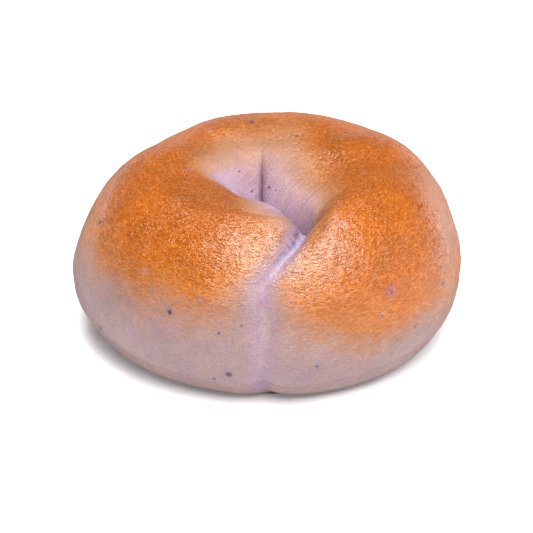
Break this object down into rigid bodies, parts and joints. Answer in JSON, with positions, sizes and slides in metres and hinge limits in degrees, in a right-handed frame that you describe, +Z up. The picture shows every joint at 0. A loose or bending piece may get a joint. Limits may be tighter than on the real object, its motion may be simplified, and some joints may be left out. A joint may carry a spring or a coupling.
{
  "type": "bagel",
  "caption": "Puffed blueberry bagel whose hole has closed to a slanting cleft, with a pale pinched seam down one side and a flat underside.",
  "frame": {"origin": "the middle of the flat underside, in the plane it rests on", "axes": "+Z up through the closed hole, -Y towards the seam at the front, +X along the longer plan axis, to the right when facing the seam"},
  "size_m": [0.11, 0.1038, 0.0514],
  "materials": {
    "crust": "baked dough crust, wrinkled and softly glossy: orange brown on the crown, fading to pale lilac dough in the cleft, along the seam and round the foot, with dark berry flecks"
  },
  "bodies": {
    "root": {"bagel": "crust"}
  },
  "joints": []
}
